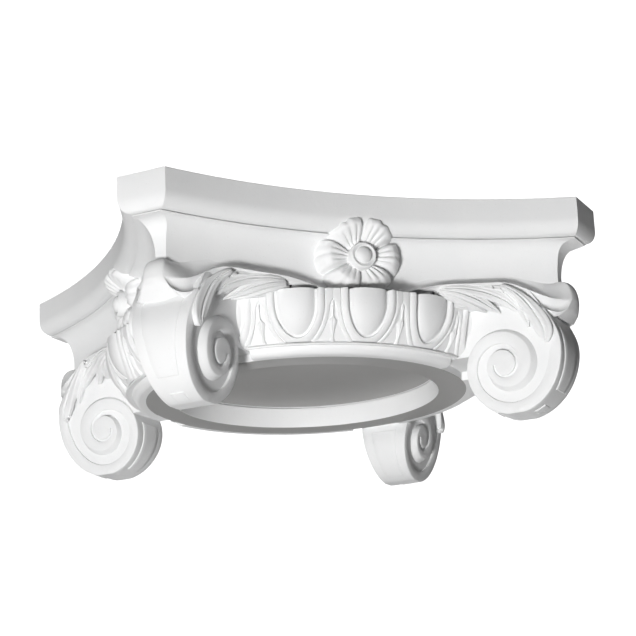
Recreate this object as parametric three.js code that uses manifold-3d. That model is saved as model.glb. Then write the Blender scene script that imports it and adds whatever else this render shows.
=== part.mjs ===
// Angular Ionic capital, cast in one piece: a concave-sided abacus with clipped corners, a carved
// egg-and-dart ring round the shaft socket, four diagonal scroll brackets and four rosettes.
// Millimetres, +Z up. The origin is on the vertical centre line, level with the scrolls' feet.
import * as THREE from "three";
import { mergeVertices } from "three/addons/utils/BufferGeometryUtils.js";
import Module from "manifold-3d";

const wasm = await Module();
wasm.setup();

// ---- driving dimensions ----
const HEIGHT = 185; // foot of the scrolls to top of the abacus
const HALF_SPAN = 220; // centre line to the tips of the abacus, along X or Y
const CORNER_CLIP = 33.4; // length cut off each abacus corner, along X and along Y
const SIDE_SAG = 33.7; // how far the middle of each abacus side is hollowed
const FASCIA_HEIGHT = 19.4;
const OVOLO_HEIGHT = 13.5;
const OVOLO_INSET = 11.2;
const FILLET_HEIGHT = 2.6;
const FILLET_INSET = 12.8;
const COVE_BOTTOM = 118.4;
const COVE_INSET = 29.4;

const SOCKET_RADIUS = 124; // takes a shaft about 250 mm across
const SOCKET_CEILING = 68.8;
const RING_BOTTOM = 48;
const RING_TOP = 99.5;
const BEAD_RADIUS = 6; // quarter-round bead under the carved ring
const BEAD_CENTRE = new THREE.Vector2(156, 54);
const CORE_RADIUS = 150; // behind the gap between the ring and the abacus

const EGG_PITCH = 20; // degrees between eggs
const EGG_HALF_WIDTH = 5.6; // degrees
const EGG_BOTTOM = 61;
const EGG_RISE = 5.4; // how far an egg stands out of the ring's field
const SHELL_WIDTH = 6; // rim round each egg
const SHELL_RISE = 3.4;
const DART_TOP = 90;
const DART_BOTTOM = 56;
const DART_RISE = 3;

const SCROLL_EYE = new THREE.Vector2(209.5, 42.6); // distance out along the diagonal, height
const SCROLL_HALF_WIDTH = 24.4; // half the scroll's thickness at the height of its eye
const SCROLL_DRAFT = 0.161; // growth of that half thickness per mm of height
const CHANNEL_DEPTH = 3;
// distance from the eye at each quarter turn: outer face, under, inner side, top, and round again
const RIB_OUTSIDE = [52, 43.2, 36.6, 30.6, 27.6, 21.8, 16.4, 13.2, 11.4];
const RIB_INSIDE = [40.5, 32.8, 26.6, 18.6, 14, 11.9, 9.5];

const ROSETTE_CENTRE = new THREE.Vector3(-0.5, -187, 129); // on the front side
const ROSETTE_RADIUS = 37;
const ROSETTE_SQUASH = 0.86; // its height is a little less than its width
const ROSETTE_PETALS = 6;
const BUTTON_RADIUS = 13;

const QUARTER = Math.PI / 2;
const UPWARDS = new THREE.Vector3(0, 0, 1);

// ---- turning geometry into solids ----

/** Closed three.js geometry to a solid, with its faces turned outwards. */
function solid(geometry) {
  geometry.deleteAttribute("normal");
  geometry.deleteAttribute("uv");
  const merged = mergeVertices(geometry, 1e-3);
  const position = merged.getAttribute("position");
  const index = Array.from(merged.index.array);
  const corner = [new THREE.Vector3(), new THREE.Vector3(), new THREE.Vector3()];
  const faces = [];
  let volume = 0;
  for (let i = 0; i < index.length; i += 3) {
    const [a, b, c] = index.slice(i, i + 3);
    if (a === b || b === c || c === a) continue;
    faces.push(a, b, c);
    [a, b, c].forEach((vertex, k) => corner[k].fromBufferAttribute(position, vertex));
    volume += corner[0].dot(corner[1].cross(corner[2]));
  }
  if (volume < 0) faces.reverse();
  return new wasm.Manifold(new wasm.Mesh({
    numProp: 3,
    vertProperties: new Float32Array(position.array),
    triVerts: new Uint32Array(faces),
  }));
}

/** Closed rings of equally many points, skinned from the first to the last and capped. */
function loft(rings) {
  const count = rings[0].length;
  const points = rings.flat();
  const faces = [];
  for (let r = 0; r + 1 < rings.length; r += 1) {
    for (let k = 0; k < count; k += 1) {
      const a = r * count + k;
      const b = r * count + ((k + 1) % count);
      faces.push(a, b, b + count, a, b + count, a + count);
    }
  }
  [rings[0], rings[rings.length - 1]].forEach((ring, end) => {
    const middle = points.length;
    const first = end === 0 ? 0 : (rings.length - 1) * count;
    points.push(ring.reduce((sum, p) => sum.add(p), new THREE.Vector3()).divideScalar(count));
    for (let k = 0; k < count; k += 1) {
      const a = first + k;
      const b = first + ((k + 1) % count);
      faces.push(...(end === 0 ? [middle, b, a] : [middle, a, b]));
    }
  });
  const geometry = new THREE.BufferGeometry().setFromPoints(points);
  geometry.setIndex(faces);
  return geometry;
}

/** One solid for each of the four sides, from a geometry on the front (-Y) side. */
function onEverySide(makeGeometry) {
  return [0, 1, 2, 3].map((side) => solid(makeGeometry().rotateZ(side * QUARTER)));
}

/** One solid for each of the four corners, from a geometry whose diagonal lies along +X. */
function onEveryCorner(makeGeometry) {
  return [0, 1, 2, 3].map((side) => solid(makeGeometry().rotateZ(QUARTER / 2 + side * QUARTER)));
}

/** Left and right versions of something made for x > 0, on each of the four sides. */
function onBothHalvesOfEverySide(makeGeometry) {
  return [1, -1].flatMap((hand) => onEverySide(() => makeGeometry().scale(hand, 1, 1)));
}

function smoothstep(low, high, x) {
  const t = THREE.MathUtils.clamp((x - low) / (high - low), 0, 1);
  return t * t * (3 - 2 * t);
}

// ---- abacus ----
const SIDE_STEPS = 8;
const CHORD_HALF = HALF_SPAN - CORNER_CLIP;
const SIDE_RADIUS = (CHORD_HALF ** 2 + SIDE_SAG ** 2) / (2 * SIDE_SAG);
const SIDE_CENTRE = HALF_SPAN - SIDE_SAG + SIDE_RADIUS; // distance from the centre line

/** Plan of the abacus at one height: every side an arc, every corner clipped straight. */
function abacusRing(inset, z) {
  const radius = SIDE_RADIUS + inset;
  const clip = 2 * HALF_SPAN - CORNER_CLIP - inset * Math.SQRT2;
  const reach = SIDE_CENTRE - clip;
  const endX = (-reach + Math.sqrt(2 * radius ** 2 - reach ** 2)) / 2;
  const endAngle = Math.asin(endX / radius);
  const ring = [];
  for (let side = 0; side < 4; side += 1) {
    for (let i = 0; i <= SIDE_STEPS; i += 1) {
      const angle = endAngle * (-1 + (2 * i) / SIDE_STEPS);
      const x = radius * Math.sin(angle);
      const y = -SIDE_CENTRE + radius * Math.cos(angle);
      ring.push(new THREE.Vector3(x, y, z).applyAxisAngle(UPWARDS, side * QUARTER));
    }
  }
  return ring;
}

function abacus() {
  const rings = [abacusRing(0, HEIGHT)];
  const fasciaBottom = HEIGHT - FASCIA_HEIGHT;
  const ovoloSteps = 3;
  for (let i = 0; i <= ovoloSteps; i += 1) {
    const turn = (QUARTER * i) / ovoloSteps;
    rings.push(abacusRing(OVOLO_INSET * (1 - Math.cos(turn)), fasciaBottom - OVOLO_HEIGHT * Math.sin(turn)));
  }
  const coveTop = fasciaBottom - OVOLO_HEIGHT - FILLET_HEIGHT;
  rings.push(abacusRing(FILLET_INSET, fasciaBottom - OVOLO_HEIGHT - 0.2));
  const coveSteps = 4;
  for (let i = 0; i <= coveSteps; i += 1) {
    const turn = (QUARTER * i) / coveSteps;
    const inset = FILLET_INSET + (COVE_INSET - FILLET_INSET) * Math.sin(turn);
    rings.push(abacusRing(inset, coveTop - (coveTop - COVE_BOTTOM) * (1 - Math.cos(turn))));
  }
  rings.push(abacusRing(COVE_INSET, RING_TOP - 6));
  return solid(loft(rings));
}

// ---- ring: socket, flat underside, bead, and the field that the eggs stand on ----
const FIELD_LOW = new THREE.Vector2(166.5, 54.5);
const FIELD_HIGH_RADIUS = 183.5;

/** Radius of the ring's field at a height. */
function fieldRadius(z) {
  const t = THREE.MathUtils.clamp((z - FIELD_LOW.y) / (RING_TOP - FIELD_LOW.y), 0, 1);
  return FIELD_LOW.x + (FIELD_HIGH_RADIUS - FIELD_LOW.x) * Math.sin(QUARTER * t ** 0.8);
}

function ring() {
  const profile = [
    new THREE.Vector2(0, SOCKET_CEILING),
    new THREE.Vector2(SOCKET_RADIUS, SOCKET_CEILING),
    new THREE.Vector2(SOCKET_RADIUS, RING_BOTTOM),
  ];
  const beadSteps = 3;
  for (let i = 0; i <= beadSteps; i += 1) {
    const turn = -QUARTER + (QUARTER * i) / beadSteps;
    const x = BEAD_CENTRE.x + BEAD_RADIUS * Math.cos(turn);
    profile.push(new THREE.Vector2(x, BEAD_CENTRE.y + BEAD_RADIUS * Math.sin(turn)));
  }
  const fieldSteps = 3;
  for (let i = 0; i <= fieldSteps; i += 1) {
    const z = FIELD_LOW.y + ((RING_TOP - FIELD_LOW.y) * i) / fieldSteps;
    profile.push(new THREE.Vector2(fieldRadius(z), z));
  }
  profile.push(new THREE.Vector2(CORE_RADIUS, RING_TOP));
  profile.push(new THREE.Vector2(CORE_RADIUS, COVE_BOTTOM + 4));
  profile.push(new THREE.Vector2(0, COVE_BOTTOM + 4));
  return solid(new THREE.LatheGeometry(profile, 56).rotateX(QUARTER));
}

/** Point on the front side's part of the ring: degrees off the middle, height, height above the field. */
function onRing(degrees, z, rise) {
  const angle = THREE.MathUtils.degToRad(degrees);
  const radius = fieldRadius(z) + rise;
  return new THREE.Vector3(radius * Math.sin(angle), -radius * Math.cos(angle), z);
}

const EGG_STEPS = 8;
const EGG_SQUARENESS = 0.77; // below 1 the outline is fuller than an ellipse

/** U-shaped outline of an egg, open at the top, grown by a margin in mm. */
function eggOutline(middle, margin, rise) {
  const halfWidth = EGG_HALF_WIDTH + THREE.MathUtils.radToDeg(margin / FIELD_HIGH_RADIUS);
  const depth = RING_TOP - EGG_BOTTOM + margin;
  const line = [];
  for (let i = 0; i <= EGG_STEPS; i += 1) {
    const turn = (Math.PI * i) / EGG_STEPS;
    const across = Math.sign(Math.cos(turn)) * Math.abs(Math.cos(turn)) ** EGG_SQUARENESS;
    const z = RING_TOP - depth * Math.sin(turn) ** EGG_SQUARENESS;
    line.push(onRing(middle + halfWidth * across, z, rise));
  }
  return line;
}

/** An egg in its rimmed shell: margin from the egg's outline, and height above the field. */
function eggInShell(middle) {
  const rows = [
    [SHELL_WIDTH, -8],
    [SHELL_WIDTH, -0.5],
    [SHELL_WIDTH / 2, SHELL_RISE],
    [0.5, 0.3],
    [-3.5, EGG_RISE - 2],
    [-12, EGG_RISE],
  ];
  return loft(rows.map(([margin, rise]) => eggOutline(middle, margin, rise)));
}

function dart(middle) {
  const levels = [[DART_TOP, 0.35], [DART_BOTTOM + 14, 0.9], [DART_BOTTOM, 3.2]];
  return loft(levels.map(([z, halfWidth]) => [
    onRing(middle - halfWidth, z, -6),
    onRing(middle - halfWidth, z, 0.2),
    onRing(middle, z, DART_RISE),
    onRing(middle + halfWidth, z, 0.2),
    onRing(middle + halfWidth, z, -6),
  ]));
}

function eggsAndDarts() {
  const eggs = [-1, 0, 1].map((place) => place * EGG_PITCH);
  const darts = [-1.5, -0.5, 0.5, 1.5].map((place) => place * EGG_PITCH);
  return [
    ...eggs.flatMap((middle) => onEverySide(() => eggInShell(middle))),
    ...darts.flatMap((middle) => onEverySide(() => dart(middle))),
  ];
}

// ---- scroll brackets: along +X here, with the eye's axis across ----
const NOTCH = new THREE.Vector2(257, 84); // where the outer band meets the lip under the corner
const BRACKET_TOP = 112;
const NECK_BOTTOM = 53; // level underside between the ring and the scroll
const BRACKET_INNER = 138; // the bracket's inner end, buried in the core

/** Half thickness of a bracket at a height. */
function halfWidth(z) {
  return SCROLL_HALF_WIDTH + SCROLL_DRAFT * (z - SCROLL_EYE.y);
}

/** Distance from the eye after some quarter turns, smoothly between the listed ones. */
function spiralRadius(radii, quarters) {
  const i = Math.min(Math.floor(quarters), radii.length - 2);
  const before = radii[Math.max(i - 1, 0)];
  const after = radii[Math.min(i + 2, radii.length - 1)];
  const t = quarters - i;
  const m0 = (radii[i + 1] - before) / (i === 0 ? 1 : 2);
  const m1 = (after - radii[i]) / (i + 2 > radii.length - 1 ? 1 : 2);
  const h = t * t * (3 - 2 * t);
  return radii[i] * (1 - h) + radii[i + 1] * h + (t ** 3 - 2 * t ** 2 + t) * m0 + (t ** 3 - t ** 2) * m1;
}

/** Points of a spiral in the bracket's side view, from the outer face round underneath. */
function spiral(radii, from, to, steps) {
  const line = [];
  for (let i = 0; i <= steps; i += 1) {
    const quarters = from + ((to - from) * i) / steps;
    const radius = spiralRadius(radii, quarters);
    const angle = -quarters * QUARTER;
    line.push(new THREE.Vector2(
      SCROLL_EYE.x + radius * Math.cos(angle),
      Math.max(0, SCROLL_EYE.y + radius * Math.sin(angle)), // a small flat foot underneath
    ));
  }
  return line;
}

/** A side-view outline, extruded across between two shares of the bracket's half thickness. */
function acrossBracket(outline, low, high) {
  const geometry = new THREE.ExtrudeGeometry(new THREE.Shape(outline), { depth: 1, bevelEnabled: false });
  const position = geometry.getAttribute("position");
  for (let i = 0; i < position.count; i += 1) {
    const z = position.getY(i);
    const side = position.getZ(i) < 0.5 ? low : high;
    position.setXYZ(i, position.getX(i), side(z), z);
  }
  return geometry;
}

function bracketOutline() {
  return [
    new THREE.Vector2(BRACKET_INNER, BRACKET_TOP),
    new THREE.Vector2(BRACKET_INNER, NECK_BOTTOM),
    new THREE.Vector2(SCROLL_EYE.x - 34.5, NECK_BOTTOM),
    ...spiral(RIB_OUTSIDE, 0, 1.9, 16).reverse(),
    new THREE.Vector2(262, 58),
    new THREE.Vector2(260.5, 72),
    NOTCH,
    new THREE.Vector2(252, 100),
    new THREE.Vector2(228, BRACKET_TOP),
  ];
}

/** The sunk channel between the turns of the rib, which opens into the bracket's neck. */
function channelOutline() {
  const outer = spiral(RIB_INSIDE, 0, 5, 17);
  const inner = spiral(RIB_OUTSIDE, 2.1, 7, 16).reverse();
  return [
    new THREE.Vector2(243, 96),
    new THREE.Vector2(250, 72),
    ...outer,
    ...inner,
    new THREE.Vector2(168, 60),
    new THREE.Vector2(168, 96),
  ];
}

function brackets() {
  const body = onEveryCorner(() => acrossBracket(bracketOutline(), (z) => -halfWidth(z), halfWidth));
  const outline = channelOutline();
  const cuts = [1, -1].flatMap((hand) => onEveryCorner(() => acrossBracket(
    outline,
    (z) => hand * (halfWidth(z) - CHANNEL_DEPTH),
    (z) => hand * (halfWidth(z) + 4),
  )));
  return wasm.Manifold.union(body).subtract(wasm.Manifold.union(cuts));
}

/** Rounded lip under each abacus corner, flaring down to the width of the scroll's outer band. */
function cornerLip() {
  // height, reach along the diagonal, half width, and how square the plan is
  const levels = [
    [76, 256, 26, 0.3],
    [83, 261, 25, 0.4],
    [91, 269, 19, 0.5],
    [100, 272.5, 14, 0.5],
    [109, 270.5, 11.5, 0.5],
    [116, 265, 9, 0.5],
    [COVE_BOTTOM + 2, 259, 6, 0.5],
  ];
  const root = 225;
  const steps = 6;
  return loft(levels.map(([z, reach, width, square]) => {
    const ringPoints = [new THREE.Vector3(root, -width, z)];
    for (let i = 0; i <= steps; i += 1) {
      const turn = -QUARTER + (Math.PI * i) / steps;
      const out = 238 + (reach - 238) * Math.cos(turn) ** (2 * square);
      const side = width * Math.sign(Math.sin(turn)) * Math.abs(Math.sin(turn)) ** (2 * square);
      ringPoints.push(new THREE.Vector3(out, side, z));
    }
    ringPoints.push(new THREE.Vector3(root, width, z));
    return ringPoints;
  }));
}

/** Arched rib that runs from behind the rosette to the corner, with the hollow sheet under it. */
function archedRib() {
  const crest = new THREE.CatmullRomCurve3([
    new THREE.Vector3(36, -160, 104.5),
    new THREE.Vector3(70, -163.5, 112.5),
    new THREE.Vector3(99, -170.5, 117),
    new THREE.Vector3(130, -184.5, 113.5),
    new THREE.Vector3(164, -201, 98),
  ]);
  const foot = new THREE.CatmullRomCurve3([
    new THREE.Vector3(36, -152, 98),
    new THREE.Vector3(66, -156, 98),
    new THREE.Vector3(94, -158, 97),
    new THREE.Vector3(123, -168, 93),
    new THREE.Vector3(150, -190, 84),
  ]);
  const steps = 7;
  const rings = [];
  for (let i = 0; i <= steps; i += 1) {
    const top = crest.getPoint(i / steps);
    const low = foot.getPoint(i / steps);
    const inwards = new THREE.Vector3(-0.35, 0.94, 0);
    const up = new THREE.Vector3(0, 0, 1);
    const cove = top.clone().lerp(low, 0.55).addScaledVector(inwards, 3);
    rings.push([
      low.clone().addScaledVector(inwards, 22),
      low,
      cove,
      top,
      top.clone().addScaledVector(up, 4).addScaledVector(inwards, 3),
      top.clone().addScaledVector(inwards, 26),
    ]);
  }
  return loft(rings);
}

// ---- acanthus leaf on the shoulder of every bracket ----
const LEAF_STEPS = 8;
const LEAF_LOBES = 4;

/** Leaf laid from the ring's top edge, along the hollow sheet, over the scroll's shoulder. */
function leaf() {
  const spine = new THREE.CatmullRomCurve3([
    new THREE.Vector3(74, -167, 102),
    new THREE.Vector3(100, -168, 105),
    new THREE.Vector3(126, -176.5, 100),
    new THREE.Vector3(146, -189.5, 84),
    new THREE.Vector3(152, -194.5, 62),
  ]);
  const outwards = new THREE.Vector3(-0.55, -0.8, -0.1).normalize();
  const rings = [];
  for (let i = 0; i <= LEAF_STEPS; i += 1) {
    const t = i / LEAF_STEPS;
    const point = spine.getPoint(t);
    const along = spine.getTangent(t);
    const across = new THREE.Vector3().crossVectors(outwards, along).normalize();
    const lobe = 0.8 + 0.2 * Math.abs(Math.sin(Math.PI * LEAF_LOBES * t));
    const width = 10.5 * Math.sin(Math.PI * (0.16 + 0.8 * t)) ** 0.7 * lobe;
    const at = (side, rise) => point.clone().addScaledVector(across, side * width).addScaledVector(outwards, rise);
    rings.push([at(-1, -6), at(-1, 0.8), at(0, 3), at(1, 0.8), at(1, -6)]);
  }
  return loft(rings);
}

// ---- rosette in the middle of every side ----
const PETAL_STEPS = 3;

function rosette() {
  // share of the radius, height of the petals' crown, and depth of the dip between petals
  const rows = [[0.9, -40, 0], [1, -2, 0], [0.9, 6, 2], [0.6, 8, 4], [0.3, 5, 1]];
  const count = ROSETTE_PETALS * PETAL_STEPS;
  return loft(rows.map(([share, crown, dip], row) => {
    const points = [];
    for (let i = 0; i < count; i += 1) {
      const turn = (2 * Math.PI * i) / count;
      const lobe = Math.abs(Math.sin((turn * ROSETTE_PETALS) / 2));
      const edge = row < 3 ? 0.86 + 0.14 * Math.sqrt(lobe) : 1;
      const radius = ROSETTE_RADIUS * share * edge;
      points.push(new THREE.Vector3(
        ROSETTE_CENTRE.x + radius * Math.cos(turn),
        ROSETTE_CENTRE.y - (crown - dip * (1 - lobe)),
        ROSETTE_CENTRE.z + radius * Math.sin(turn) * ROSETTE_SQUASH,
      ));
    }
    return points;
  }));
}

function rosetteButton() {
  const dome = new THREE.SphereGeometry(BUTTON_RADIUS, 8, 6).scale(1, 0.75, 0.95);
  return dome.translate(ROSETTE_CENTRE.x, ROSETTE_CENTRE.y - 5.5, ROSETTE_CENTRE.z);
}

// ---- the casting ----
const casting = wasm.Manifold.union([
  abacus(),
  ring(),
  ...eggsAndDarts(),
  brackets(),
  ...onEveryCorner(cornerLip),
  ...onBothHalvesOfEverySide(archedRib),
  ...onBothHalvesOfEverySide(leaf),
  ...onEverySide(rosette),
  ...onEverySide(rosetteButton),
]);

const result = casting.getMesh();
const geometry = new THREE.BufferGeometry();
geometry.setAttribute("position", new THREE.BufferAttribute(result.vertProperties, 3));
geometry.setIndex(new THREE.BufferAttribute(result.triVerts, 1));

const capital = new THREE.Mesh(geometry, new THREE.MeshStandardMaterial({
  color: 0xf1f1ef,
  roughness: 0.6,
  metalness: 0,
}));
capital.name = "capital";

const group = new THREE.Group();
group.add(capital);

export default group;
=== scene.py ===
# %% [markdown]
# # An angular Ionic capital, cast in one piece
# The top of a classical column: a hollow-sided slab (the abacus) on a carved ring, with a scroll under
# each of its four corners and a flower in the middle of each side. This lesson builds the carving
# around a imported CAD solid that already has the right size. The carving's numbers are millimetres in
# that solid's frame: Z is up, and the origin is on the centre line, level with the scrolls' feet. The
# studio and the finish are in metres, as Blender is.

import math

import bmesh
import bpy
import numpy as np
from mathutils import Matrix, Vector


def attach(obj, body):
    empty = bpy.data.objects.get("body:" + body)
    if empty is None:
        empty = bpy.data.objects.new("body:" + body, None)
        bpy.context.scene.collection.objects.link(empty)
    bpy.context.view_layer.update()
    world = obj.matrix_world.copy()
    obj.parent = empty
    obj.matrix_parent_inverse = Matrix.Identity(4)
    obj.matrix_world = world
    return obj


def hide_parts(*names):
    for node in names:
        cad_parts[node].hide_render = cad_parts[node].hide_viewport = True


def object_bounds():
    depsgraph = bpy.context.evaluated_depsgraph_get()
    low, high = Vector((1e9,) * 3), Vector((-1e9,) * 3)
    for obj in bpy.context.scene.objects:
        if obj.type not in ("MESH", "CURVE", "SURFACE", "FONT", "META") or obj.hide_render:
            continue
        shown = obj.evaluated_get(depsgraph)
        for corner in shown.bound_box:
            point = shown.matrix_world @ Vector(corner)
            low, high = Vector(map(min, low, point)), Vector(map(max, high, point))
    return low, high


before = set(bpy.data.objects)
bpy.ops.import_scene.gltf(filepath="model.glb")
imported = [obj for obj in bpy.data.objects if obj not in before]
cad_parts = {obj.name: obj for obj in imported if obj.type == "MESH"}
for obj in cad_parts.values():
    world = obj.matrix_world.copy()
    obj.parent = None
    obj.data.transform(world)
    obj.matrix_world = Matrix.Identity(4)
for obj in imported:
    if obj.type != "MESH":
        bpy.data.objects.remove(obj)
cad_low, cad_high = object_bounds()
MM = 0.001
HALF_SPAN = cad_high.x / MM
HEIGHT = cad_high.z / MM
print("cad solid in mm:", [round(c / MM, 1) for c in (*cad_low, *cad_high)])

# %% [markdown]
# ## Where we look from
# A capital is seen from below, as one looks up at a column. The camera stands off the front left,
# lower than the capital, with a long lens so that upright lines stay nearly parallel. The place and
# the turn are plain numbers, and the three axes of the camera are worked out from its angles.

# %% Camera
YAW, PITCH, ROLL = (math.radians(degrees) for degrees in (18.8, 16.1, -2.58))
forwards = Vector((math.sin(YAW) * math.cos(PITCH), math.cos(YAW) * math.cos(PITCH), math.sin(PITCH)))
level_right = forwards.cross(Vector((0, 0, 1))).normalized()
level_up = level_right.cross(forwards)
right = level_right * math.cos(ROLL) + level_up * math.sin(ROLL)
upright = level_up * math.cos(ROLL) - level_right * math.sin(ROLL)
lens = bpy.data.cameras.new("long_lens")
lens.lens = 103.8
lens.clip_end = 40
camera = bpy.data.objects.new("camera", lens)
camera.matrix_world = Matrix.Translation(Vector((-528.2, -1596.2, -359.1)) * MM) @ Matrix(
    (right, upright, -forwards)
).transposed().to_4x4()
bpy.context.scene.collection.objects.link(camera)
bpy.context.scene.camera = camera
print("camera", round(camera.location.length, 2), "m from the part's origin")

# %% [markdown]
# ## Studio
# The casting hangs in a pale studio. White plaster shows its carving only by shade, so one broad lamp
# does most of the work, low and to the left of the front, and the pale room fills the shadows. Softer
# lamps at the left, behind and above keep the other sides readable. The room and the floor look
# brighter to the camera than the light they give, so that the shade stays deep enough to read.
# The floor lies well below, because the camera is lower than the part's feet.

# %% Floor, lamps and pale room
FLOOR_HEIGHT, FLOOR_HALF_SIZE = -1.6, 8


def plain_matte(name, colour, glow):
    """Flat studio paint for things that aren't part of the object."""
    paint = bpy.data.materials.new(name)
    paint.use_nodes = True
    shader = paint.node_tree.nodes["Principled BSDF"]
    shader.inputs["Base Color"].default_value = (*colour, 1)
    shader.inputs["Roughness"].default_value = 0.9
    # the glow is for the eye only: it lights nothing
    seen = paint.node_tree.nodes.new("ShaderNodeLightPath")
    paint.node_tree.links.new(seen.outputs["Is Camera Ray"], shader.inputs["Emission Color"])
    shader.inputs["Emission Strength"].default_value = glow
    return paint


def studio_floor(paint):
    sheet = bmesh.new()
    bmesh.ops.create_grid(sheet, x_segments=1, y_segments=1, size=FLOOR_HALF_SIZE)
    bmesh.ops.translate(sheet, vec=(0, 0, FLOOR_HEIGHT), verts=sheet.verts)
    mesh = bpy.data.meshes.new("floor")
    sheet.to_mesh(mesh)
    sheet.free()
    mesh.materials.append(paint)
    thing = bpy.data.objects.new("floor", mesh)
    bpy.context.scene.collection.objects.link(thing)


studio_floor(plain_matte("pale_floor", (0.5, 0.5, 0.5), 0.6))

LAMPS_AIM_AT = Vector((0, 0, 0.09))
ROOM_LIGHT, ROOM_GLOW = 0.1, 1.3  # what the room gives to surfaces, and what the camera sees of it


def lamp(name, azimuth, elevation, distance, size, watts):
    """Square lamp round the part: azimuth from the front towards the left, in degrees."""
    side, lift = math.radians(azimuth), math.radians(elevation)
    towards = Vector((-math.sin(side) * math.cos(lift), -math.cos(side) * math.cos(lift), math.sin(lift)))
    light = bpy.data.lights.new(name, "AREA")
    light.size = size
    light.energy = watts
    lit = bpy.data.objects.new(name, light)
    lit.location = LAMPS_AIM_AT + towards * distance
    lit.rotation_euler = towards.to_track_quat("Z", "Y").to_euler()
    bpy.context.scene.collection.objects.link(lit)


lamp("key_lamp", 36, -26, 3.4, 0.5, 95)
lamp("left_fill", 100, 5, 3.0, 1.6, 7)
lamp("back_fill", 205, 4, 3.2, 1.8, 38)
lamp("top_fill", 0, 89, 3.0, 1.2, 24)  # the wide abacus keeps it off the carving

room = bpy.data.worlds.new("pale_room")
room.use_nodes = True
bpy.context.scene.world = room
nodes, links = room.node_tree.nodes, room.node_tree.links
nodes["Background"].inputs["Color"].default_value = (1, 1, 1, 1)
nodes["Background"].inputs["Strength"].default_value = ROOM_LIGHT
bright = nodes.new("ShaderNodeBackground")
bright.inputs["Color"].default_value = (1, 1, 1, 1)
bright.inputs["Strength"].default_value = ROOM_GLOW
seen = nodes.new("ShaderNodeLightPath")
either = nodes.new("ShaderNodeMixShader")
links.new(seen.outputs["Is Camera Ray"], either.inputs[0])
links.new(nodes["Background"].outputs[0], either.inputs[1])
links.new(bright.outputs[0], either.inputs[2])
links.new(either.outputs[0], nodes["World Output"].inputs["Surface"])
bpy.context.scene.view_settings.view_transform = "Standard"
bpy.context.scene.view_settings.look = "None"

# %% [markdown]
# ## Shader sums that read like sums
# A finish is built from nodes. Wiring each node by hand hides the idea, so one small class wraps a
# socket: adding or multiplying two wrapped sockets adds the Math node, and one method makes any other
# node from its kind, its settings and what goes into its sockets.


# %% A socket that can be used in sums
class Wire:
    def __init__(self, tree, socket=None):
        self.tree, self.socket = tree, socket

    def plug(self, into, value):
        if isinstance(value, Wire):
            self.tree.links.new(value.socket, into)
        else:
            into.default_value = value

    def node(self, kind, settings, sockets, output=0):
        """Any node: its settings first, then a value or a wire for each named or numbered socket."""
        made = self.tree.nodes.new(kind)
        stops = settings.pop("stops", None)
        for name, value in settings.items():
            setattr(made, name, value)
        if stops:
            for place, shade in stops[2:]:
                made.color_ramp.elements.new(place)
            for element, (place, shade) in zip(made.color_ramp.elements, sorted(stops)):
                element.position, element.color = place, (shade, shade, shade, 1)
        for name, value in sockets.items():
            self.plug(made.inputs[name], value)
        return Wire(self.tree, made.outputs[output])

    def maths(self, operation, first, second):
        return self.node("ShaderNodeMath", {"operation": operation}, {0: first, 1: second})

    def below(self, limit):
        return self.maths("LESS_THAN", self, limit)

    def __add__(self, other):
        return self.maths("ADD", self, other)

    __radd__ = __add__

    def __mul__(self, other):
        return self.maths("MULTIPLY", self, other)

    __rmul__ = __mul__


print("shader sums ready")

# %% [markdown]
# ## The white casting
# Such capitals are cast in a rubber mould and sprayed with a matte white primer. Close up the coat is
# not one flat white: it is faintly mottled by the spray between a warm and a cool white, peppered with
# very fine specks, and its surface has a soft orange-peel grain. Noises at several scales make the
# mottle, the specks and the grain, and they drive colour, roughness and bump. The flat underside and
# the socket's ceiling are painted a dark grey: that is painted shade, to keep them dark.

# %% Primed white finish
CEILING_REACH, CEILING_TOP = 0.1237, 0.0705  # painted shade in the socket: out from the axis, and up to
LAND_REACH, LAND_TOP = 0.1505, 0.0483  # painted shade on the flat underside


def primed_white():
    finish = bpy.data.materials.new("primed_white_casting")
    finish.use_nodes = True
    tree = finish.node_tree
    shader = tree.nodes["Principled BSDF"]
    start = Wire(tree)
    place = start.node("ShaderNodeTexCoord", {}, {}, "Object")

    def noise(scale, detail):
        return start.node("ShaderNodeTexNoise", {}, {"Vector": place, "Scale": scale, "Detail": detail})

    def mixed(share, first, second):  # sockets 6 and 7 are the two colours
        return start.node("ShaderNodeMix", {"data_type": "RGBA"}, {"Factor": share, 6: first, 7: second}, 2)

    mottle = noise(26, 3)
    grain = noise(900, 2)
    specks = start.node("ShaderNodeValToRGB", {"stops": [(0.70, 0), (0.76, 1)]}, {0: noise(640, 1)})
    coat = mixed(mottle, (0.90, 0.90, 0.895, 1), (0.84, 0.845, 0.85, 1))
    speckled = mixed(specks * 0.25, coat, (0.70, 0.69, 0.67, 1))
    x, y, z = (start.node("ShaderNodeSeparateXYZ", {}, {0: place}, axis) for axis in range(3))
    from_axis = start.maths("SQRT", x * x + y * y, 0)
    # painted shade: a dark grey is mixed into the socket's ceiling and the flat underside
    shaded_ceiling = from_axis.below(CEILING_REACH) * z.below(CEILING_TOP)
    shaded_underside = from_axis.below(LAND_REACH) * z.below(LAND_TOP)
    painted_shade = start.maths("MAXIMUM", shaded_ceiling, shaded_underside)
    start.plug(shader.inputs["Base Color"], mixed(painted_shade * 0.9, speckled, (0.32, 0.316, 0.31, 1)))
    start.plug(shader.inputs["Roughness"], 0.46 + mottle * 0.16 + grain * 0.06)
    peel = start.node(
        "ShaderNodeBump", {}, {"Strength": 0.35, "Distance": 0.0002, "Height": grain + noise(220, 2) * 1.5}
    )
    start.plug(shader.inputs["Normal"], peel)
    shader.inputs["Specular IOR Level"].default_value = 0.35
    return finish


casting_white = primed_white()
print("finish:", casting_white.name, len(casting_white.node_tree.nodes), "nodes")

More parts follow.
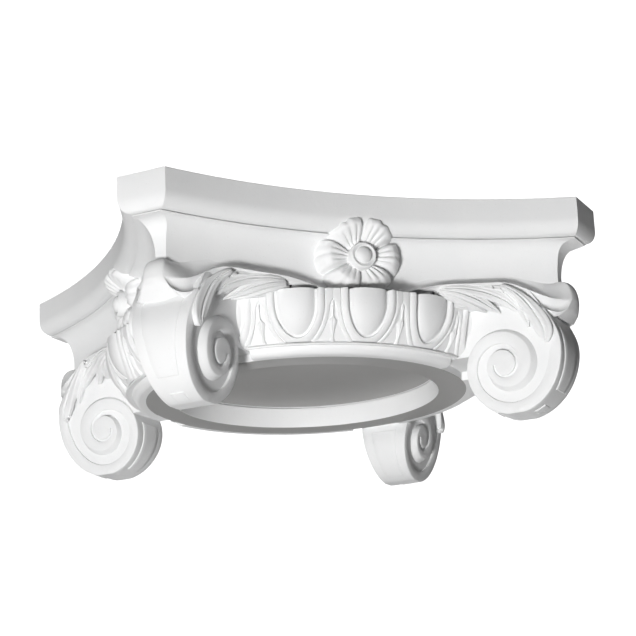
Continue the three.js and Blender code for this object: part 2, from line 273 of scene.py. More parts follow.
# %% [markdown]
# ## Shaping tools
# Nearly every carved surface is a sheet of small quads laid along a curve, so the main tool starts
# with a flat grid and moves its points to their places. Edges that meet are merged, openings are
# filled, and the faces are turned outwards. The other tools repeat a part round the centre line and
# turn a finished shape into a piece that rides with the CAD body.

# %% Draped grids, copies and finished pieces


def through(stops):
    """A smooth curve through stops of (key, value, ...): gives the values at any key between them."""
    table = np.array(stops, float)
    keys, values = table[:, 0], table[:, 1:]
    slopes = np.gradient(values, keys, axis=0)

    def at(key):
        key = min(max(key, keys[0]), keys[-1])
        span = min(max(int(np.searchsorted(keys, key, side="right")) - 1, 0), len(keys) - 2)
        width = keys[span + 1] - keys[span]
        t = (key - keys[span]) / width
        rise = t * t * (3 - 2 * t)
        swing = slopes[span] * (t**3 - 2 * t * t + t) + slopes[span + 1] * (t**3 - t * t)
        found = values[span] * (1 - rise) + values[span + 1] * rise + swing * width
        return float(found[0]) if len(found) == 1 else found

    return at


def draped_grid(columns, rows, place):
    """A grid whose point (column, row) goes to place(column, row), closed where its edges meet."""
    bm = bmesh.new()
    bmesh.ops.create_grid(bm, x_segments=columns, y_segments=rows, size=0.5)
    for vert in bm.verts:
        vert.co = Vector(place(round((vert.co.x + 0.5) * columns), round((vert.co.y + 0.5) * rows)))
    return close_up(bm)


def close_up(bm):
    bmesh.ops.remove_doubles(bm, verts=bm.verts, dist=0.01)
    bmesh.ops.dissolve_degenerate(bm, edges=bm.edges, dist=0.001)
    bmesh.ops.holes_fill(bm, edges=[e for e in bm.edges if e.is_boundary], sides=0)
    bmesh.ops.recalc_face_normals(bm, faces=bm.faces)
    return bm


def join(parts):
    """Several shapes in one bmesh."""
    whole = bmesh.new()
    for part in parts:
        carrier = bpy.data.meshes.new("carrier")
        part.to_mesh(carrier)
        whole.from_mesh(carrier)
        bpy.data.meshes.remove(carrier)
        part.free()
    return whole


def copies_round(bm, angles):
    """The shape again at each further angle round the centre line, in degrees."""
    first = bm.verts[:] + bm.edges[:] + bm.faces[:]
    for degrees in angles:
        made = bmesh.ops.duplicate(bm, geom=first)["geom"]
        bmesh.ops.rotate(
            bm,
            cent=(0, 0, 0),
            matrix=Matrix.Rotation(math.radians(degrees), 3, "Z"),
            verts=[g for g in made if isinstance(g, bmesh.types.BMVert)],
        )
    return bm


def both_hands(bm):
    """The shape and its mirror image across the upright plane of the corner's diagonal."""
    bmesh.ops.mirror(bm, geom=bm.verts[:] + bm.edges[:] + bm.faces[:], merge_dist=0.0, axis="Y")
    bmesh.ops.recalc_face_normals(bm, faces=bm.faces)
    return bm


def turned_to_corner(bm):
    """From the working place, with the corner's diagonal along +X, to all four corners."""
    bmesh.ops.rotate(bm, cent=(0, 0, 0), matrix=Matrix.Rotation(math.radians(-45), 3, "Z"), verts=bm.verts)
    return copies_round(bm, (90, 180, 270))


def finished_piece(name, bm, crease):
    """The shape as a piece of the casting, in metres, with edges sharper than crease kept crisp."""
    bmesh.ops.scale(bm, vec=(MM, MM, MM), verts=bm.verts)
    mesh = bpy.data.meshes.new(name)
    bm.to_mesh(mesh)
    bm.free()
    mesh.shade_smooth()
    mesh.set_sharp_from_angle(angle=math.radians(crease))
    mesh.materials.append(casting_white)
    piece = bpy.data.objects.new(name, mesh)
    bpy.context.scene.collection.objects.link(piece)
    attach(piece, "root")
    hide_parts("capital")
    mesh.calc_loop_triangles()
    print(name, len(mesh.loop_triangles), "triangles")


# %% [markdown]
# ## The abacus
# The square slab on top has four hollow sides and clipped corners, and it is moulded from the top down
# with a flat band, a convex ovolo, a fine dark quirk and a deep cove. One could sweep the moulding
# along each side and mitre the ends. Here one plan line is drawn at every level instead: a side's arc
# keeps its centre and only its radius grows, so the mitres at the clipped corners come out by
# themselves.

# %% Abacus
CORNER_CLIP = 33.4  # length cut off each corner, along X and along Y
SIDE_SAG = 33.7  # how far the middle of a side is hollowed
OVOLO_TOP, OVOLO_DROP, OVOLO_INSET = 165.6, 13.5, 11.2
COVE_TOP, COVE_BOTTOM, COVE_START, COVE_INSET = 150.2, 118.4, 13.0, 29.4
ABACUS_FOOT = 94  # hidden behind the arches
SIDE_STEPS = 32
side_radius = ((HALF_SPAN - CORNER_CLIP) ** 2 + SIDE_SAG**2) / (2 * SIDE_SAG)
side_centre = HALF_SPAN - SIDE_SAG + side_radius

# (inset from the outline, height), from the top down: band, ovolo, quirk, cove
abacus_levels = [(1.2, HEIGHT), (0.3, HEIGHT - 0.3), (0, HEIGHT - 1.2), (0, 175), (0, OVOLO_TOP)]
abacus_levels += [
    (OVOLO_INSET * (1 - math.cos(turn)), OVOLO_TOP - OVOLO_DROP * math.sin(turn))
    for turn in (math.radians(9 * step) for step in range(1, 11))
]
abacus_levels += [(11.4, 151.9), (16.0, 152.4), (16.2, 151.4), (11.8, 150.9), (12.0, 150.4)]
abacus_levels += [
    (
        COVE_START + (COVE_INSET - COVE_START) * math.sin(turn),
        COVE_TOP - (COVE_TOP - COVE_BOTTOM) * (1 - math.cos(turn)),
    )
    for turn in (math.radians(7.5 * step) for step in range(0, 13))
]
abacus_levels += [(COVE_INSET, ABACUS_FOOT)]


# the cut corner keeps more of its width under the upper moulding than the long sides do
corner_inset = through([(0, 0), (12, 7.6), (13.5, 8.4), (18, 17.5), (22, 23), (29.4, 29.4)])


def abacus_point(column, row):
    inset, z = abacus_levels[row]
    radius = side_radius + inset
    reach = side_centre - (2 * HALF_SPAN - CORNER_CLIP - corner_inset(inset) * math.sqrt(2))
    end = math.asin((math.sqrt(2 * radius**2 - reach**2) - reach) / 2 / radius)
    side, step = divmod(column, SIDE_STEPS + 1)
    along = end * (2 * step / SIDE_STEPS - 1)
    spot = Vector((radius * math.sin(along), radius * math.cos(along) - side_centre, z))
    return Matrix.Rotation(side * math.pi / 2, 3, "Z") @ spot


finished_piece("abacus", draped_grid(4 * (SIDE_STEPS + 1), len(abacus_levels) - 1, abacus_point), 15)

# %% [markdown]
# ## The ring
# Below the abacus a ring takes the end of the shaft in a shallow round socket. Its flat underside ends
# in a quarter-round bead and a thin lip, and above them the field swells outwards. All of this is
# turned work, so each profile is drawn once and spun round the centre line: the ring all the way, and
# the bead in four arcs, because it stops short of the brackets.

# %% Ring
RING_TOP = 99.5
FIELD_FOOT, FIELD_HEAD = Vector((165, 56)), Vector((183.5, RING_TOP))


def field_radius(z):
    share = min(max((z - FIELD_FOOT.y) / (RING_TOP - FIELD_FOOT.y), 0), 1)
    return FIELD_FOOT.x + (FIELD_HEAD.x - FIELD_FOOT.x) * math.sin(math.pi / 2 * share**0.8)


# (radius, height): the socket's ceiling, a groove, its wall, the flat underside, the step behind the bead
ring_profile = [(0, 68.8), (127.6, 69.4), (127.8, 68.2), (124.1, 67.4), (124, 66.5), (124, 49.4)]
ring_profile += [(124.4, 48.4), (125.4, 48), (149.7, 48), (150, 48.3), (150, 56.2), (165, 56.2)]
ring_profile += [(field_radius(z), z) for z in np.linspace(57, RING_TOP, 18)]
ring_profile += [(150, RING_TOP), (150, 124), (0, 124)]
bead_profile = [(148, 56.9), (148, 48.05)]
bead_profile += [
    (156 + 6.4 * math.sin(turn), 54.4 - 6.4 * math.cos(turn))
    for turn in (math.radians(9 * step) for step in range(0, 11))
]
bead_profile += [(162.9, 55.5), (164.3, 55.2), (167.6, 53.9), (168.9, 54.2), (169.3, 55.3)]
bead_profile += [(168.4, 56.5), (166, 57.6)]
BEAD_HALF_ARC = 35.2  # degrees


def spun(profile, closed_loop, start, angle, steps):
    """A profile of (radius, height) spun round the centre line from a start angle, in degrees."""
    bm = bmesh.new()
    line = [bm.verts.new((radius, 0, z)) for radius, z in profile]
    pairs = list(zip(line, line[1:] + line[:1])) if closed_loop else list(zip(line, line[1:]))
    joints = [bm.edges.new(pair) for pair in pairs]
    bmesh.ops.rotate(bm, cent=(0, 0, 0), matrix=Matrix.Rotation(math.radians(start), 3, "Z"), verts=line)
    bmesh.ops.spin(
        bm, geom=line + joints, cent=(0, 0, 0), axis=(0, 0, 1), angle=math.radians(angle), steps=steps,
        use_merge=angle == 360,
    )
    return close_up(bm)


turned = spun(ring_profile, False, 0, 360, 160)
bead = copies_round(spun(bead_profile, True, -90 - BEAD_HALF_ARC, 2 * BEAD_HALF_ARC, 36), (90, 180, 270))
print("ring:", len(turned.faces), "faces; bead:", len(bead.faces))

# %% [markdown]
# ## Eggs and darts
# The ring's field carries the classical egg-and-dart: half eggs, each in a rimmed shell that is open
# at the top, with a slim dart between neighbours. An egg is laid out as nested U-shaped lines, from
# the foot of the shell over its rim, down into the groove and up on to the egg's crown. The edges of
# the carving follow those lines, which keeps them crisp with few faces.

# %% Eggs and darts
EGG_PITCH = 20  # degrees
EGG_HALF_WIDTH, EGG_BOTTOM, EGG_SHOULDER = 17.6, 61.0, 87.0
U_STEPS = 44
U_LEG = 0.14  # share of a U-shaped line that each upright leg takes
OUTER_ROWS, SHELL_SPREAD = 4, 3.4  # the shell's outer border spreads to meet the next one above the dart
LOWEST_CARVING = 56.9
# (margin outside the egg's outline, rise above the field)
egg_rows = [(11.6, -3), (11.4, 0.4), (10.9, 1.7), (8.9, 2.2), (8.3, 1.9), (7.6, 0.9), (6.9, 2.3), (6.0, 3.1)]
egg_rows += [(4.6, 3.6), (3.0, 3.8), (1.9, 3.4), (1.1, 2.2), (0.5, -0.4), (0.0, -1.3), (-0.7, -0.9)]
egg_rows += [(-1.5, 0.6), (-2.8, 2.1), (-4.8, 3.4), (-7.6, 4.4), (-11.5, 5.1), (-EGG_HALF_WIDTH, 5.4)]


def on_ring(across, z, rise):
    """Millimetres across from the middle of the front side, height, and rise above the field."""
    angle, radius = across / FIELD_HEAD.x, field_radius(z) + rise
    return Vector((radius * math.sin(angle), -radius * math.cos(angle), z))


def egg_point(column, row):
    margin, rise = egg_rows[row]
    half, drop = EGG_HALF_WIDTH + margin, EGG_SHOULDER - EGG_BOTTOM + margin
    if row == len(egg_rows) - 1:  # the last line closes along the egg's crown
        half, drop = 0, 6
    share = (column % (U_STEPS + 1)) / U_STEPS
    if share < U_LEG or share > 1 - U_LEG:
        height = (U_LEG - min(share, 1 - share)) / U_LEG
        z = EGG_SHOULDER + (RING_TOP - EGG_SHOULDER) * height
        if row < OUTER_ROWS:
            half += SHELL_SPREAD * min(max((z - 86) / 5, 0), 1)
        return on_ring(half * (-1 if share < 0.5 else 1), z, rise)
    turn = math.pi * (share - U_LEG) / (1 - 2 * U_LEG)
    z = max(EGG_SHOULDER - drop * math.sin(turn), LOWEST_CARVING)
    return on_ring(-half * math.cos(turn), z, rise)


DART_TOP, DART_FOOT, DART_STEPS = 89.5, 56.6, 26
dart_half_width = through(
    [(0, 0.3), (0.08, 0.9), (0.44, 1.5), (0.5, 3.9), (0.6, 3.3), (0.8, 1.7), (0.88, 1.3), (1, 3.2)]
)
# (share of the half width, rise above the field)
dart_ridges = [(-1, -3), (-1, -0.1), (-0.8, 1.0), (-0.5, 1.9), (-0.25, 2.2), (0, 1.6)]
dart_ridges += [(-x, rise) for x, rise in reversed(dart_ridges[:-1])]


def dart_point(column, row):
    share = row / DART_STEPS
    across, rise = dart_ridges[column]
    lift = rise * min(1, 8 * share + 0.3)
    return on_ring(across * dart_half_width(share), DART_TOP + (DART_FOOT - DART_TOP) * share, lift)


egg = draped_grid(U_STEPS + 1, len(egg_rows) - 1, egg_point)
copies_round(egg, (-2 * EGG_PITCH, -EGG_PITCH, EGG_PITCH, 2 * EGG_PITCH))
dart = draped_grid(len(dart_ridges) - 1, DART_STEPS, dart_point)
half_pitch = Matrix.Rotation(math.radians(EGG_PITCH / 2), 3, "Z")
bmesh.ops.rotate(dart, cent=(0, 0, 0), matrix=half_pitch, verts=dart.verts)
copies_round(dart, (-2 * EGG_PITCH, -EGG_PITCH, EGG_PITCH))
carving = copies_round(join([egg, dart]), (90, 180, 270))
finished_piece("carved_ring", join([turned, bead, carving]), 38)

# %% [markdown]
# ## The scroll brackets
# Under each corner a bracket ends in a pair of spirals, one on each cheek. The rib of the spiral is
# flush with the outer band at first and then winds into the eye, and the channel between its turns
# runs out into the bracket's neck. The channel floor is a plain slab. The band, with its low raised
# panels and both rims, is one swept strip, and the rib that winds inwards is a second sweep whose
# outer wall leans more or less.

# %% Spiral lines
EYE_OUT, EYE_HEIGHT = 209.5, 42.6
CHANNEL_DEPTH = 2.3
# quarter turns, where 0 points straight out and 1 straight down from the eye
SWEEP_END = 2.24  # here the rim leaves the outside of the bracket
CHANNEL_END, SPIRAL_END = 6, 10  # here the rib closes over the channel, and here it ends in the eye

rib_outside = through(
    [(-0.52, 61), (-0.4, 58.6), (-0.236, 56.3), (0, 52), (1, 43.2), (2, 36.6), (3, 30.6), (4, 27.6)]
    + [(5, 21.8), (6, 16.4), (7, 13.2), (8, 11.4), (9, 10.3), (10, 9.0)]
)
rib_inside = through(
    [(-0.52, 51.5), (-0.4, 49.5), (0, 40.5), (1, 32.8), (2, 26.6), (3, 18.6), (4, 14), (5, 11.9), (6, 9.8)]
)
wall_lean = through(
    [(2.2, 0.6), (2.6, 1.0), (3, 2.2), (3.4, 3.2), (4, 3.5), (4.6, 3.3), (5, 2.8), (5.6, 1.8), (7, 1.3)]
    + [(10, 0.8)]
)
# the rib stands prouder and prouder of the cheek as it winds inwards
rib_lift = through([(2.2, 0), (2.8, 0.5), (3.4, 2.6), (4, 4.6), (4.6, 4.6), (6, 4.3), (8, 4.5), (10, 4.6)])


def cheek(z):
    """Half thickness of a bracket, which grows a little with height."""
    return 24.4 + 0.161 * (z - 44.3)


def off_eye(radius, quarters):
    """Distance out and height of a point of the spiral, never below the level of the feet."""
    angle = quarters * math.pi / 2
    return EYE_OUT + radius * math.cos(angle), max(0.0, EYE_HEIGHT - radius * math.sin(angle))


print("rib width at quarter turns:", [round(rib_outside(q) - rib_inside(q), 1) for q in range(6)])

# %% Channel floor and neck
slab = bmesh.new()
outline = [(138, 112), (138, 55.2), (175.5, 55.2)]
outline += [off_eye(rib_outside(q) - 3, q) for q in np.linspace(2.2, -0.4, 40)]  # inside the band
outline += [(247, 92), (240, 104), (226, 112)]
low_side = slab.faces.new([slab.verts.new((u, -(cheek(z) - CHANNEL_DEPTH), z)) for u, z in outline])
grown = bmesh.ops.extrude_face_region(slab, geom=[low_side], use_keep_orig=True)["geom"]
for vert in (g for g in grown if isinstance(g, bmesh.types.BMVert)):
    vert.co.y = -vert.co.y
bmesh.ops.recalc_face_normals(slab, faces=slab.faces)
print("slab:", len(slab.faces), "faces")

# %% Outer band with both rims
# half width of the panels along the band
panel_half = through(
    [(-0.52, 21), (-0.4, 19.8), (-0.236, 17.6), (0, 14.2), (0.353, 10), (0.5, 7), (0.6, 6.5), (0.75, 6.5)]
    + [(1.25, 9), (1.7, 11.5), (2.24, 14)]
)
panel_stretches = [(-0.6, 0.355), (0.585, 0.735), (1.25, 2.08)]
PANEL_RISE, PANEL_RAMP = 0.8, 0.006
BAND_START = -0.52
panel_ends = [q for stretch in panel_stretches for q in stretch if q > BAND_START]
ramps = {round(q + shift, 4) for q in panel_ends for shift in (-PANEL_RAMP, PANEL_RAMP)}
band_rows = sorted(set(np.round(np.linspace(BAND_START, SWEEP_END, 96), 4)) | ramps)


def band_section(quarters):
    """Half section from the middle of the band to the foot of the rim: (across, depth) pairs."""
    z_outer = off_eye(rib_outside(quarters), quarters)[1]
    width = rib_outside(quarters) - rib_inside(quarters)
    edge, panel = cheek(z_outer), panel_half(quarters)
    rise = PANEL_RISE if any(low < quarters < high for low, high in panel_stretches) else 0
    half = [(0, -rise), (panel * 0.5, -rise), (panel - 0.6, -rise), (panel - 0.2, -0.7 * rise)]
    half += [(panel + 0.1, 0), ((panel + edge) / 2, 0)]
    half += [(edge - 1.1, 0), (edge - 0.35, 0.3), (edge, 1.1), (edge, width / 2)]
    half += [(edge, width - 1.2), (edge - 0.4, width - 0.4), (edge - 1.3, width), (edge - 6, width + 0.3)]
    return half


def band_point(column, row):
    quarters = band_rows[row]
    half = band_section(quarters)
    loop = half + [(-v, depth) for v, depth in reversed(half[1:])]
    across, depth = loop[column % len(loop)]
    u, z = off_eye(rib_outside(quarters) - depth, quarters)
    z_outer = off_eye(rib_outside(quarters), quarters)[1]
    spread = (cheek(z) - cheek(z_outer)) * min(1, abs(across) / cheek(z_outer))
    return u, across + math.copysign(spread, across), z


band = draped_grid(2 * len(band_section(0)) - 1, len(band_rows) - 1, band_point)
print("band:", len(band.faces), "faces")

# %% Rib that winds into the eye
rib_rows = list(np.linspace(SWEEP_END, CHANNEL_END, 90))
rib_rows += list(np.linspace(CHANNEL_END + 0.0001, SPIRAL_END, 80))


def rib_point(column, row):
    quarters = rib_rows[row]
    outside, lean = rib_outside(quarters), wall_lean(quarters) / 2
    inside = rib_inside(quarters) if quarters <= CHANNEL_END else 0
    inner_wall, lift = min(0.5, inside), rib_lift(quarters)
    inner_floor = min(CHANNEL_DEPTH - 0.08, 2.2 - lift)  # the floor climbs with the rib, like a low cone
    # (radius from the eye, depth below the cheek), from the outer wall over the rib to the floor inside
    section = [
        (outside + lean, CHANNEL_DEPTH + 3),
        (outside + lean, CHANNEL_DEPTH - 0.1),
        (outside + lean * 0.9, CHANNEL_DEPTH - 0.5),
        (outside - lean * 0.7 - 0.2, 0.9 - lift),
        (outside - lean - 0.3, 0.25 - lift),
        (outside - lean - 0.9, -lift),
        ((outside - lean + inside) / 2, -lift),
        (inside + 2.4 * inner_wall, -lift),
        (inside + inner_wall * 0.8, 0.4 - lift),
        (inside + inner_wall * 0.2, 1.2 - lift),
        (inside - inner_wall * 0.4, inner_floor),
        (0.3 * inner_wall, inner_floor),
        (0.3 * inner_wall, CHANNEL_DEPTH + 3),
    ]
    radius, below = section[column % len(section)]
    u, z = off_eye(max(radius, 0), quarters)
    return u, -(cheek(z) - below), z


rib = both_hands(draped_grid(13, len(rib_rows) - 1, rib_point))
print("rib:", len(rib.faces), "faces")
finished_piece("scroll_brackets", turned_to_corner(join([slab, band, rib])), 35)

# %% [markdown]
# ## Arches and corner lips
# From behind each flower a crest rises along the foot of the cove, dips to the corner and ends there in
# a plump lip. Above the crest a hollow sweeps up into the abacus, and below it, near the corner, lies a
# bright flute. The lines along which this surface bends are known, so each is given as a smooth guide
# curve, and the hollows between them are drawn as bent lines from guide to guide. One half is made,
# from the flower to the middle of the lip's nose, and mirrored.

# %% Guide curves of the arches
# (stage, out along the diagonal, across, height): stage 0 is behind the flower, stage 6 the lip's rim
contact = through(
    [(0, 133.4, -91.4, 106), (1, 151.9, -74.4, 116), (2, 168.7, -60.3, 122), (3, 190.5, -44.5, 125)]
    + [(3.8, 214.4, -29.2, 123.4), (4.5, 229, -21, 119.4), (5.2, 244, -12.0, 115.6)]
    + [(5.6, 251.6, -7.0, 115.0), (6, 257.0, -4.0, 115.4)]
)
crest = through(
    [(0, 139, -98, 100), (1, 160, -85, 106.7), (2, 176.9, -72.9, 110.2), (3, 196.9, -59.9, 110.9)]
    + [(3.8, 221.2, -42.8, 111.9), (4.5, 233.7, -34.6, 107.8), (5.2, 256.6, -24.6, 96.2)]
    + [(5.6, 265.2, -16.8, 95.0), (6, 271.0, -9.8, 96.6)]
)
flute_heart = through(
    [(0, 135, -93, 98), (1, 155, -78, 104), (2, 171.5, -65, 107.4), (3, 192, -51.5, 107)]
    + [(3.8, 215, -34, 106), (4.5, 229, -25, 101), (5.2, 249, -17.0, 89.6), (5.6, 257.5, -12.0, 88.4)]
    + [(5.85, 266, -11.6, 90), (6, 270.2, -11.9, 91.8)]
)
flute_ridge = through(
    [(0, 136, -95, 96), (1, 156, -80, 101.6), (2, 172, -68, 104.4), (3, 193, -55, 103.6)]
    + [(3.8, 217.5, -38, 102), (4.5, 238.8, -30.4, 95.4), (5.2, 255.6, -26.4, 84.4)]
    + [(5.6, 262.4, -20.8, 83.2), (6, 267.6, -14.6, 86.2)]
)
tucked = through(
    [(0, 122, -80, 94), (1, 142, -64, 100), (2, 160, -52, 102), (3, 182, -38, 102)]
    + [(3.8, 208, -25, 98), (4.5, 232, -23, 90), (5.2, 249, -21, 80), (5.6, 255, -20.4, 79.4)]
    + [(6, 261.6, -18.6, 80.6)]
)
buried = through(
    [(0, 112, -70, 100), (1, 132, -54, 104), (2, 150, -40, 108), (3, 172, -26, 108)]
    + [(3.8, 190, -14, 108), (4.5, 206, -8, 104), (5.2, 222, -4, 98), (5.6, 226, -2, 98), (6, 228, -1, 98)]
)
# how far the hollow over the crest bulges: 0 is a hollow, 1 the lip's round top
hollow_fullness = through([(0, 0.15), (4.2, 0.0), (4.8, 0.1), (5.3, 0.45), (5.7, 0.75), (6, 1)])
print("crest from", np.round(crest(0)), "to", np.round(crest(6)))

# %% Arches and lips
BEND_STEPS = 9


def bend(first, pull, last):
    """Points from first to last, drawn towards pull on the way, both ends included."""
    shares = np.linspace(0, 1, BEND_STEPS + 1)
    return [first * (1 - t) ** 2 + pull * 2 * t * (1 - t) + last * t * t for t in shares]


def softened(before, corner, after, reach):
    """A corner as three points, so that its edge catches the light."""
    def step(towards):
        way = towards - corner
        return corner + way * min(reach / max(np.linalg.norm(way), 1e-6), 0.45)

    first, last = step(before), step(after)
    return [first, (first + last + corner * 2) / 4, last]


def arch_section(stage):
    top, edge, low = contact(stage), crest(stage), flute_ridge(stage)
    full = hollow_fullness(stage)
    pull = np.array([*(top[:2] * (1 - full) + edge[:2] * full), edge[2] * (1 - full) + top[2] * full])
    hollow, flute = bend(top, pull, edge), bend(edge, flute_heart(stage), low)
    section = [buried(stage) + np.array([0, 0, 14])] + hollow[:-1]
    section += softened(hollow[-2], edge, flute[1], 0.8) + flute[1:-1]
    section += softened(flute[-2], low, tucked(stage), 1.0) + [tucked(stage), buried(stage)]
    return section


STAGES = list(np.concatenate([np.linspace(0, 3.8, 36)[:-1], np.linspace(3.8, 6, 50)]))
NOSE = [0.04, 0.12, 0.25, 0.4, 0.6, 0.8, 1.0]  # shares of the way from the rim to the middle of the nose
NOSE_FOOT, NOSE_HEAD, NOSE_CROWN = 79, 120, 2.0
arch_sections = [arch_section(stage) for stage in STAGES]


def arch_point(column, row):
    if row < len(STAGES):
        return tuple(arch_sections[row][column % len(arch_sections[0])])
    share = NOSE[row - len(STAGES)]
    u, v, z = arch_sections[-1][column % len(arch_sections[0])]
    swell = math.sin(share * math.pi / 2)
    crown = NOSE_CROWN * min(max((z - NOSE_FOOT) / 12, 0), 1) * min(max((NOSE_HEAD - z) / 6, 0), 1)
    droop = 2.2 * swell if z < 82 else 0
    return u + crown * swell**0.7, v * (1 - share), z - droop


arch = draped_grid(len(arch_sections[0]), len(STAGES) + len(NOSE) - 1, arch_point)
both_hands(arch)
finished_piece("arches_and_lips", turned_to_corner(arch), 40)

# %% [markdown]
# ## Acanthus leaves
# A half leaf of acanthus springs from the ring's top edge on both sides of every bracket and curls
# over the scroll's shoulder. A carver cuts it as a bundle of fingers that share a root, each with a
# raised edge and a sunk vein, and lets them overlap. So each finger here is a blade swept along its
# own spine.

# %% Leaf fingers
# spine of each finger: (out along the diagonal, across, height, half width)
leaf_fingers = {
    "low": [(172, -72, 103.4, 2.0), (183.0, -64, 99.8, 3.4), (191.3, -53, 95.8, 3.8)]
    + [(196.9, -43, 92.4, 3.0), (199.8, -33, 90.4, 0.5)],
    "second": [(173, -72, 105.2, 2.2), (185.3, -65, 103.2, 3.8), (197.4, -53, 98.4, 4.6)]
    + [(205.1, -42, 92.9, 3.7), (211.9, -32, 87.3, 0.6)],
    "third": [(171.5, -71, 107.0, 2.2), (186.8, -64.5, 106.8, 3.6), (203.6, -50, 104.4, 5.0)]
    + [(218.1, -40, 97.6, 5.2), (225.9, -35, 90.4, 3.4), (230.9, -32, 85.0, 0.6)],
    "gap": [(220.4, -42, 105.2, 2.0), (228.2, -37, 98.0, 3.4), (231.6, -34, 90.0, 3.9)]
    + [(234.4, -32.5, 80.8, 3.3), (236.5, -31.5, 71.8, 0.6)],
    "tip": [(219.9, -46, 108.0, 2.0), (229.2, -40, 102.0, 3.8), (238.0, -36, 92.4, 5.8)]
    + [(246.1, -34, 78.9, 7.8), (251.0, -33, 66.5, 7.8), (251.1, -32, 58.6, 4.8), (248.9, -31, 56.2, 0.6)],
    "upper": [(194.7, -55, 109.4, 1.5), (211.0, -47, 108.2, 2.0), (224.3, -41, 104.9, 2.2)]
    + [(234.9, -35.5, 99.6, 1.8), (243.8, -31.5, 92.2, 0.5)],
}
for spine in leaf_fingers.values():  # every root is tucked into the wall behind it
    out, across, height, half_width = spine[0]
    spine.insert(0, (out - 7, across + 9, height - 1, half_width * 0.5))
BLADE_ACROSS = [-1, -0.93, -0.8, -0.6, -0.42, -0.3, -0.16, -0.07, 0]
BLADE_ACROSS += [-side for side in reversed(BLADE_ACROSS[:-1])]
BLADE_STEPS = 34
BLADE_WAYS = len(BLADE_ACROSS) + 2  # the face, and two points at the back that close the section


def blade_rise(side, width):
    """Height of a finger across its width: rounded edges, sunk vein, two fainter side veins."""
    crown = 1.9 * max(0, 1 - abs(side) ** 3) ** 0.5
    vein = 1.9 * math.exp(-((side / 0.12) ** 2))
    side_vein = 0.9 * math.exp(-(((abs(side) - 0.5) / 0.1) ** 2))
    return (crown - vein - side_vein) * min(1, width / 3.5)


def finger(spine):
    follow = through([(step, *stop) for step, stop in enumerate(spine)])
    last = len(spine) - 1

    def place(column, row):
        key = last * row / BLADE_STEPS
        here, ahead, behind = follow(key), follow(min(key + 0.05, last)), follow(max(key - 0.05, 0))
        spot, along = Vector(here[:3]), Vector(ahead[:3] - behind[:3]).normalized()
        turn = min(1, key / last * 1.3)
        outwards = Vector((0.75, -0.62, 0.1)).lerp(Vector((0.05, -1, 0.1)), turn).normalized()
        across = outwards.cross(along).normalized()
        facing = along.cross(across).normalized()
        column %= BLADE_WAYS
        if column >= len(BLADE_ACROSS):
            side = 1 if column == len(BLADE_ACROSS) else -1
            return spot + across * side * here[3] * 0.9 - facing * (7 - 3 * turn)
        side = BLADE_ACROSS[column]
        return spot + across * side * here[3] + facing * (blade_rise(side, here[3]) - 0.3)

    return draped_grid(BLADE_WAYS, BLADE_STEPS, place)


leaf = both_hands(join([finger(spine) for spine in leaf_fingers.values()]))
finished_piece("acanthus_leaves", turned_to_corner(leaf), 50)

# %% [markdown]
# ## Rosettes
# A six-petalled flower covers the middle of each side. It is carved as one relief: petals that rise
# from the wall, roll over and sink to the centre, cut by deep notches between them and finer grooves
# along them, round a collared button. A grid in rings and rays takes that relief well, because every
# cut runs along a ray.

# %% Rosettes
FLOWER_MIDDLE = Vector((-1.5, 133.5))  # across and up: each flower sits a little to one side
FLOWER_HALF_WIDTH, FLOWER_HALF_HEIGHT = 39.5, 33.5
PETALS = 6
RAYS, FLOWER_RINGS = 180, 34
BUTTON_HOLE = 0.26  # share of the radius that the button covers
# (share of the radius, height of the petals' crown in front of the flower's rim)
crown_height = through(
    [(0.26, 15), (0.34, 15.5), (0.5, 19), (0.66, 20.5), (0.8, 18.5), (0.91, 13), (0.98, 6), (1.0, 1)]
)
# (share of the half height, place of the rim along Y): the flower leans out towards its top
rim_depth = through([(-1, -158), (-0.3, -157), (0.3, -160), (0.75, -172), (1, -178)])


def hump(offset, width):
    """A smooth bump: 1 where offset is 0, almost nothing two widths away."""
    return math.exp(-((offset / width) ** 2))


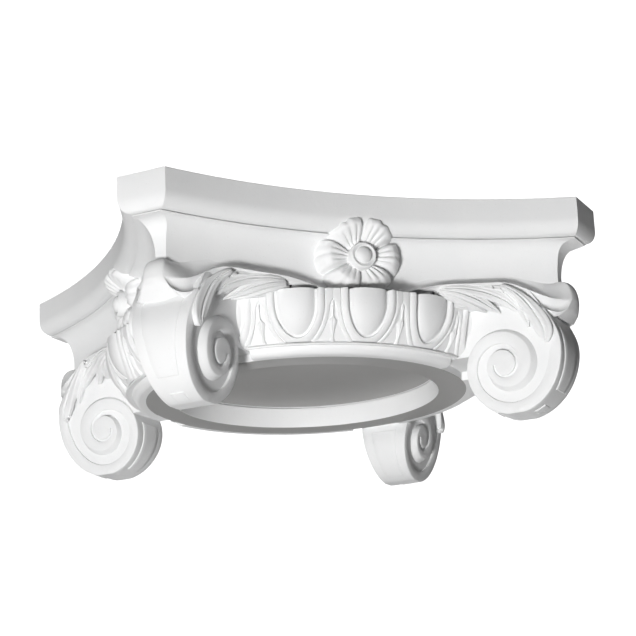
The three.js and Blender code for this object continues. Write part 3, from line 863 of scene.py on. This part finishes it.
def flower_relief(petal, share):
    """Height in front of the rim. petal is 0 at a notch and 1 on a petal's middle line."""
    swell = 1 - 0.24 * (1 - petal) ** 2.2
    notch = 4.6 * hump(petal, 0.13) * min(1, share / 0.5)
    vein = 2.6 * hump(1 - petal, 0.13) * max(0, 1 - ((share - 0.5) / 0.28) ** 2)
    side_vein = 1.8 * hump(petal - 0.55, 0.1) * max(0, 1 - ((share - 0.52) / 0.24) ** 2)
    return crown_height(share) * swell - notch - vein - side_vein


def flower_point(column, row):
    turn = math.tau * ((column % RAYS) / RAYS) + math.pi / PETALS
    petal = 1 - abs(((turn / math.tau * PETALS + 0.5) % 1) - 0.5) * 2
    edge = 1 - 0.08 * (1 - petal) ** 5 - 0.025 * hump(petal - 1, 0.12)
    edge -= 0.008 * math.cos(2 * math.tau * petal)
    if row >= FLOWER_RINGS:  # skirt that runs back into the wall
        share, lift = 0.97, -26
    else:
        share = BUTTON_HOLE + (1 - BUTTON_HOLE) * math.sin(math.pi / 2 * row / (FLOWER_RINGS - 1))
        lift = flower_relief(petal, share)
    x = FLOWER_HALF_WIDTH * share * edge * math.cos(turn)
    up = FLOWER_HALF_HEIGHT * share * edge * math.sin(turn)
    return FLOWER_MIDDLE.x + x, rim_depth(up / FLOWER_HALF_HEIGHT) - lift, FLOWER_MIDDLE.y + up


petals = draped_grid(RAYS, FLOWER_RINGS, flower_point)

# (radius, place along Y): the collar, then the dome
button_profile = [(12.0, -160), (12.0, -174.5), (11.6, -176.6), (10.6, -177.6), (9.0, -177.2)]
button_profile += [(8.0, -175.8), (7.6, -175.6)]
button_profile += [
    (7.5 * math.cos(turn), -176.2 - 5.0 * math.sin(turn))
    for turn in (math.radians(15 * step) for step in range(0, 7))
]
button = bmesh.new()
line = [button.verts.new((radius, y, 0)) for radius, y in button_profile]
joints = [button.edges.new(pair) for pair in zip(line, line[1:])]
bmesh.ops.spin(
    button, geom=line + joints, cent=(0, 0, 0), axis=(0, 1, 0), angle=math.tau, steps=40, use_merge=True
)
bmesh.ops.translate(button, vec=(FLOWER_MIDDLE.x, -3, FLOWER_MIDDLE.y - 1.5), verts=button.verts)
close_up(button)
finished_piece("rosettes", copies_round(join([petals, button]), (90, 180, 270)), 45)
